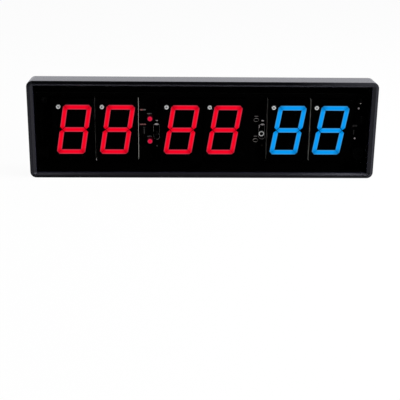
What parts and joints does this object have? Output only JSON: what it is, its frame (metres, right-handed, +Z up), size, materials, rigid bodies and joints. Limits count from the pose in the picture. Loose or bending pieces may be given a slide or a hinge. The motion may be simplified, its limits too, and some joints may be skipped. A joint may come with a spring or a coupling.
{
  "type": "interval timer",
  "caption": "Wall or desk LED interval timer: shallow black case with a bezel and a flat window, slanted red and blue seven-segment digits and a colon.",
  "frame": {"origin": "on the surface the timer stands on, under the middle of its case", "axes": "+X to the right as seen from the front, +Y to the rear, +Z up"},
  "size_m": [0.315, 0.024, 0.0895],
  "materials": {
    "case_black": "fine satin texture, moulded",
    "window_clear": "polished clear sheet with a smoke tint",
    "module_grey": "moulded grey, black paint on the face",
    "lens_red": "diffusing resin, lit red",
    "lens_blue": "diffusing resin, lit blue",
    "lens_milk": "milky diffusing resin, unlit",
    "carrier_tan": "glass-fibre laminate, tan",
    "board_dark": "black solder mask",
    "tin": "tinned",
    "zinc": "bright zinc plate",
    "chip_black": "moulded black",
    "brown_block": "moulded, tan-brown",
    "ceramic": "glazed ceramic, dark"
  },
  "bodies": {
    "root": {"back_cover": "case_black", "backup_cell": "zinc", "board_screw_1": "zinc", "board_screw_2": "zinc", "board_screw_3": "zinc", "board_screw_4": "zinc", "buzzer": "chip_black", "cell_holder": "chip_black", "clock_chip": "chip_black", "clock_crystal": "tin", "colon_lower_lead_1": "tin", "colon_lower_lead_2": "tin", "colon_lower_led": "lens_red", "colon_upper_lead_1": "tin", "colon_upper_lead_2": "tin", "colon_upper_led": "lens_red", "controller_chip": "chip_black", "cover_screw_1": "zinc", "cover_screw_2": "zinc", "cover_screw_3": "zinc", "cover_screw_4": "zinc", "cover_screw_5": "zinc", "cover_screw_6": "zinc", "digit_1_body": "module_grey", "digit_1_carrier": "carrier_tan", "digit_1_point": "lens_milk", "digit_1_segments": "lens_red", "digit_2_body": "module_grey", "digit_2_carrier": "carrier_tan", "digit_2_point": "lens_milk", "digit_2_segments": "lens_red", "digit_3_body": "module_grey", "digit_3_carrier": "carrier_tan", "digit_3_point": "lens_milk", "digit_3_segments": "lens_red", "digit_4_body": "module_grey", "digit_4_carrier": "carrier_tan", "digit_4_point": "lens_milk", "digit_4_segments": "lens_red", "digit_5_body": "module_grey", "digit_5_carrier": "carrier_tan", "digit_5_point": "lens_milk", "digit_5_segments": "lens_blue", "digit_6_body": "module_grey", "digit_6_carrier": "carrier_tan", "digit_6_point": "lens_milk", "digit_6_segments": "lens_blue", "driver_chip_left": "chip_black", "driver_chip_right": "chip_black", "filter_capacitor_1": "brown_block", "filter_capacitor_2": "brown_block", "front_frame": "case_black", "ir_receiver": "chip_black", "main_board": "board_dark", "power_jack_body": "chip_black", "power_jack_pin": "zinc", "resistor_pack_1": "ceramic", "resistor_pack_2": "ceramic", "voltage_regulator": "chip_black", "window": "window_clear"}
  },
  "joints": []
}
